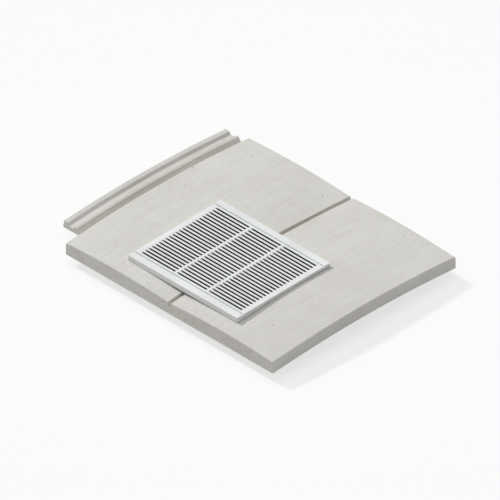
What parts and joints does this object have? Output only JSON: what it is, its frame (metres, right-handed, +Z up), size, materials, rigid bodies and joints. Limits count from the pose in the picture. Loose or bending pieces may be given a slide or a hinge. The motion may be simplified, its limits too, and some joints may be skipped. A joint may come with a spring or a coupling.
{
  "type": "roof tile vent",
  "caption": "Flat interlocking concrete roof tile with a slotted plastic grille over a throat that airs the roof space.",
  "frame": {"origin": "middle of the footprint, level with the bottoms of the batten nibs", "axes": "+X across the tile from the underlock to the lap, +Y up the slope from tail to head, +Z up out of the face"},
  "size_m": [0.337, 0.267, 0.0377],
  "materials": {
    "concrete": "matte",
    "grille_plastic": "satin",
    "black_plastic": "satin",
    "seal_foam": "matte",
    "screw_steel": "brushed"
  },
  "bodies": {
    "root": {"concrete_tile": "concrete", "grille_cover": "grille_plastic", "throat_frame": "black_plastic", "rain_baffle": "black_plastic", "backing_frame": "black_plastic", "top_seal": "seal_foam", "bottom_seal": "seal_foam", "screw_front_left": "screw_steel", "screw_front_right": "screw_steel", "screw_rear_left": "screw_steel", "screw_rear_right": "screw_steel"}
  },
  "joints": []
}
